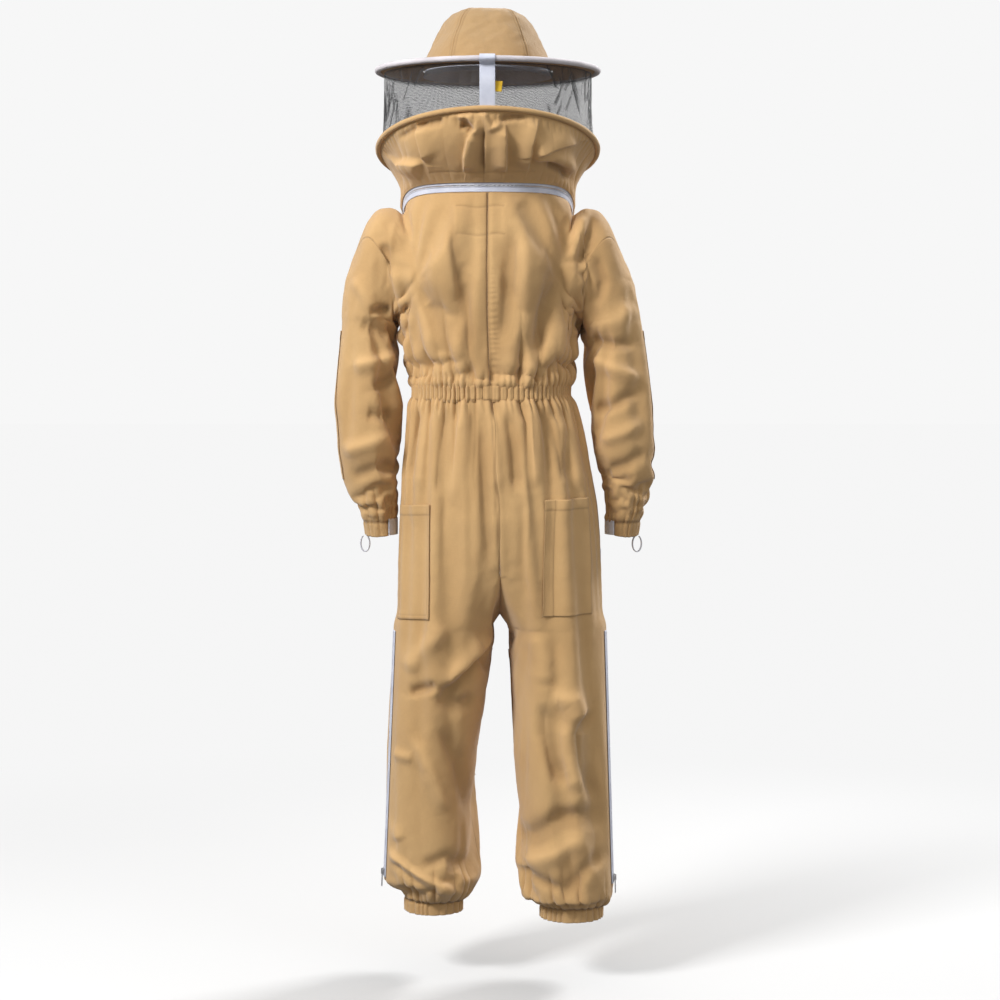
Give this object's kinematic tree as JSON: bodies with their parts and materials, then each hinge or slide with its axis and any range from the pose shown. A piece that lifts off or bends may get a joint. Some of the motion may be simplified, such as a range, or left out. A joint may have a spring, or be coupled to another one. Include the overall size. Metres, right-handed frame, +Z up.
{
  "type": "beekeeping suit",
  "caption": "Full-length beekeeper's coverall of khaki cloth with a zip-on round hood: cloth hat, black net veil, elastic waist, wrists and ankles.",
  "frame": {"origin": "on the wearer's spine line, at the height where the suit rests on the shoulders, 1.50 m above the floor the wearer stands on", "axes": "+Z up, -Y is the way the wearer faces, +X is the wearer's left"},
  "size_m": [0.6346, 0.4346, 1.767],
  "materials": {
    "khaki_cloth": "woven cotton twill, matt",
    "white_tape": "woven polyester tape",
    "white_elastic": "ribbed elastic",
    "black_net": "open knitted net",
    "spring_steel": "bare spring wire",
    "zip_metal": "plated, satin",
    "yellow_label": "woven label"
  },
  "bodies": {
    "suit": {"ankle_elastic_left": "white_elastic", "ankle_elastic_right": "white_elastic", "back_panel_left": "khaki_cloth", "back_panel_right": "khaki_cloth", "chest_pocket": "khaki_cloth", "front_panel_left": "khaki_cloth", "front_panel_right": "khaki_cloth", "front_zip_tape_left": "white_tape", "front_zip_tape_right": "white_tape", "knee_patch_left": "khaki_cloth", "knee_patch_right": "khaki_cloth", "leg_zip_left": "white_tape", "leg_zip_right": "white_tape", "neck_zip_lower_tape": "white_tape", "rear_pocket_left": "khaki_cloth", "rear_pocket_right": "khaki_cloth", "side_label": "white_tape", "trouser_back_left": "khaki_cloth", "trouser_back_right": "khaki_cloth", "trouser_front_left": "khaki_cloth", "trouser_front_right": "khaki_cloth", "waist_casing": "khaki_cloth", "waist_elastic": "white_elastic"},
    "hood": {"neck_zip_upper_tape": "white_tape", "hood_collar": "khaki_cloth", "collar_binding": "khaki_cloth", "collar_hoop": "spring_steel", "veil_net": "black_net", "veil_back_tape": "white_tape", "label_tab": "yellow_label", "hat_crown": "khaki_cloth", "hat_brim": "khaki_cloth", "sweatband": "white_elastic", "brim_binding": "white_tape", "brim_hoop": "spring_steel"},
    "arm_left": {"sleeve_left": "khaki_cloth", "wrist_elastic_left": "white_elastic", "wrist_strap_left": "white_elastic", "elbow_patch_left": "khaki_cloth"},
    "loop_left": {"thumb_loop_left": "white_elastic"},
    "leg_slider_left": {"leg_zip_slider_left": "zip_metal"},
    "leg_pull_left": {"leg_zip_pull_left": "zip_metal"},
    "neck_slider_left": {"neck_zip_slider_left": "zip_metal"},
    "neck_pull_left": {"neck_zip_pull_left": "zip_metal"},
    "arm_right": {"sleeve_right": "khaki_cloth", "wrist_elastic_right": "white_elastic", "wrist_strap_right": "white_elastic", "elbow_patch_right": "khaki_cloth"},
    "loop_right": {"thumb_loop_right": "white_elastic"},
    "leg_slider_right": {"leg_zip_slider_right": "zip_metal"},
    "leg_pull_right": {"leg_zip_pull_right": "zip_metal"},
    "neck_slider_right": {"neck_zip_slider_right": "zip_metal"},
    "neck_pull_right": {"neck_zip_pull_right": "zip_metal"},
    "front_slider": {"front_zip_slider": "zip_metal"},
    "front_pull": {"front_zip_pull": "zip_metal"}
  },
  "joints": [
    {"name": "hood_throw_back", "type": "hinge", "parent": "suit", "child": "hood", "pos_m": [0, 0.12, 0.048], "axis": [-1, 0, 0], "range_deg": [0, 110]},
    {"name": "arm_raise_left", "type": "hinge", "parent": "suit", "child": "arm_left", "pos_m": [0.195, -0.01, -0.1], "axis": [0, -1, 0], "range_deg": [0, 60]},
    {"name": "arm_raise_right", "type": "hinge", "parent": "suit", "child": "arm_right", "pos_m": [-0.195, -0.01, -0.1], "axis": [0, 1, 0], "range_deg": [0, 60]},
    {"name": "thumb_loop_swing_left", "type": "hinge", "parent": "arm_left", "child": "loop_left", "pos_m": [0.24265, -0.02719, -0.62703], "axis": [0.3303, 0.9439, 0], "range_deg": [-45, 45]},
    {"name": "thumb_loop_swing_right", "type": "hinge", "parent": "arm_right", "child": "loop_right", "pos_m": [-0.29376, -0.02719, -0.6275], "axis": [-0.3303, 0.9439, 0], "range_deg": [-45, 45]},
    {"name": "front_zip_open", "type": "slide", "parent": "suit", "child": "front_slider", "axis": [-0.0394, 0.0248, -0.9989], "range_m": [0, 0.53]},
    {"name": "front_pull_swing", "type": "hinge", "parent": "front_slider", "child": "front_pull", "pos_m": [-0.0007, -0.16167, -0.13277], "axis": [-0.9992, 0, 0.0394], "range_deg": [0, 170]},
    {"name": "leg_zip_open_left", "type": "slide", "parent": "suit", "child": "leg_slider_left", "axis": [-0.0453, 0.0596, 0.9972], "range_m": [0, 0.465]},
    {"name": "leg_pull_swing_left", "type": "hinge", "parent": "leg_slider_left", "child": "leg_pull_left", "pos_m": [0.20979, -0.00545, -1.29141], "axis": [0.2244, -0.9721, 0.0683], "range_deg": [0, 170]},
    {"name": "leg_zip_open_right", "type": "slide", "parent": "suit", "child": "leg_slider_right", "axis": [0.0295, -0.048, 0.9984], "range_m": [0, 0.465]},
    {"name": "leg_pull_swing_right", "type": "hinge", "parent": "leg_slider_right", "child": "leg_pull_right", "pos_m": [-0.24904, 0.04754, -1.29132], "axis": [0.2248, 0.9736, 0.0401], "range_deg": [0, 170]},
    {"name": "neck_zip_open_left", "type": "hinge", "parent": "suit", "child": "neck_slider_left", "pos_m": [0, -0.02498, 0.00658], "axis": [0, -0.6157, 0.788], "range_deg": [0, 84]},
    {"name": "neck_pull_swing_left", "type": "hinge", "parent": "neck_slider_left", "child": "neck_pull_left", "pos_m": [0.01534, -0.15809, -0.09741], "axis": [0, 0.6157, -0.788], "range_deg": [0, 170]},
    {"name": "neck_zip_open_right", "type": "hinge", "parent": "suit", "child": "neck_slider_right", "pos_m": [0, -0.02498, 0.00658], "axis": [0, 0.6157, -0.788], "range_deg": [0, 84]},
    {"name": "neck_pull_swing_right", "type": "hinge", "parent": "neck_slider_right", "child": "neck_pull_right", "pos_m": [-0.01534, -0.15809, -0.09741], "axis": [0, -0.6157, 0.788], "range_deg": [0, 170]}
  ]
}
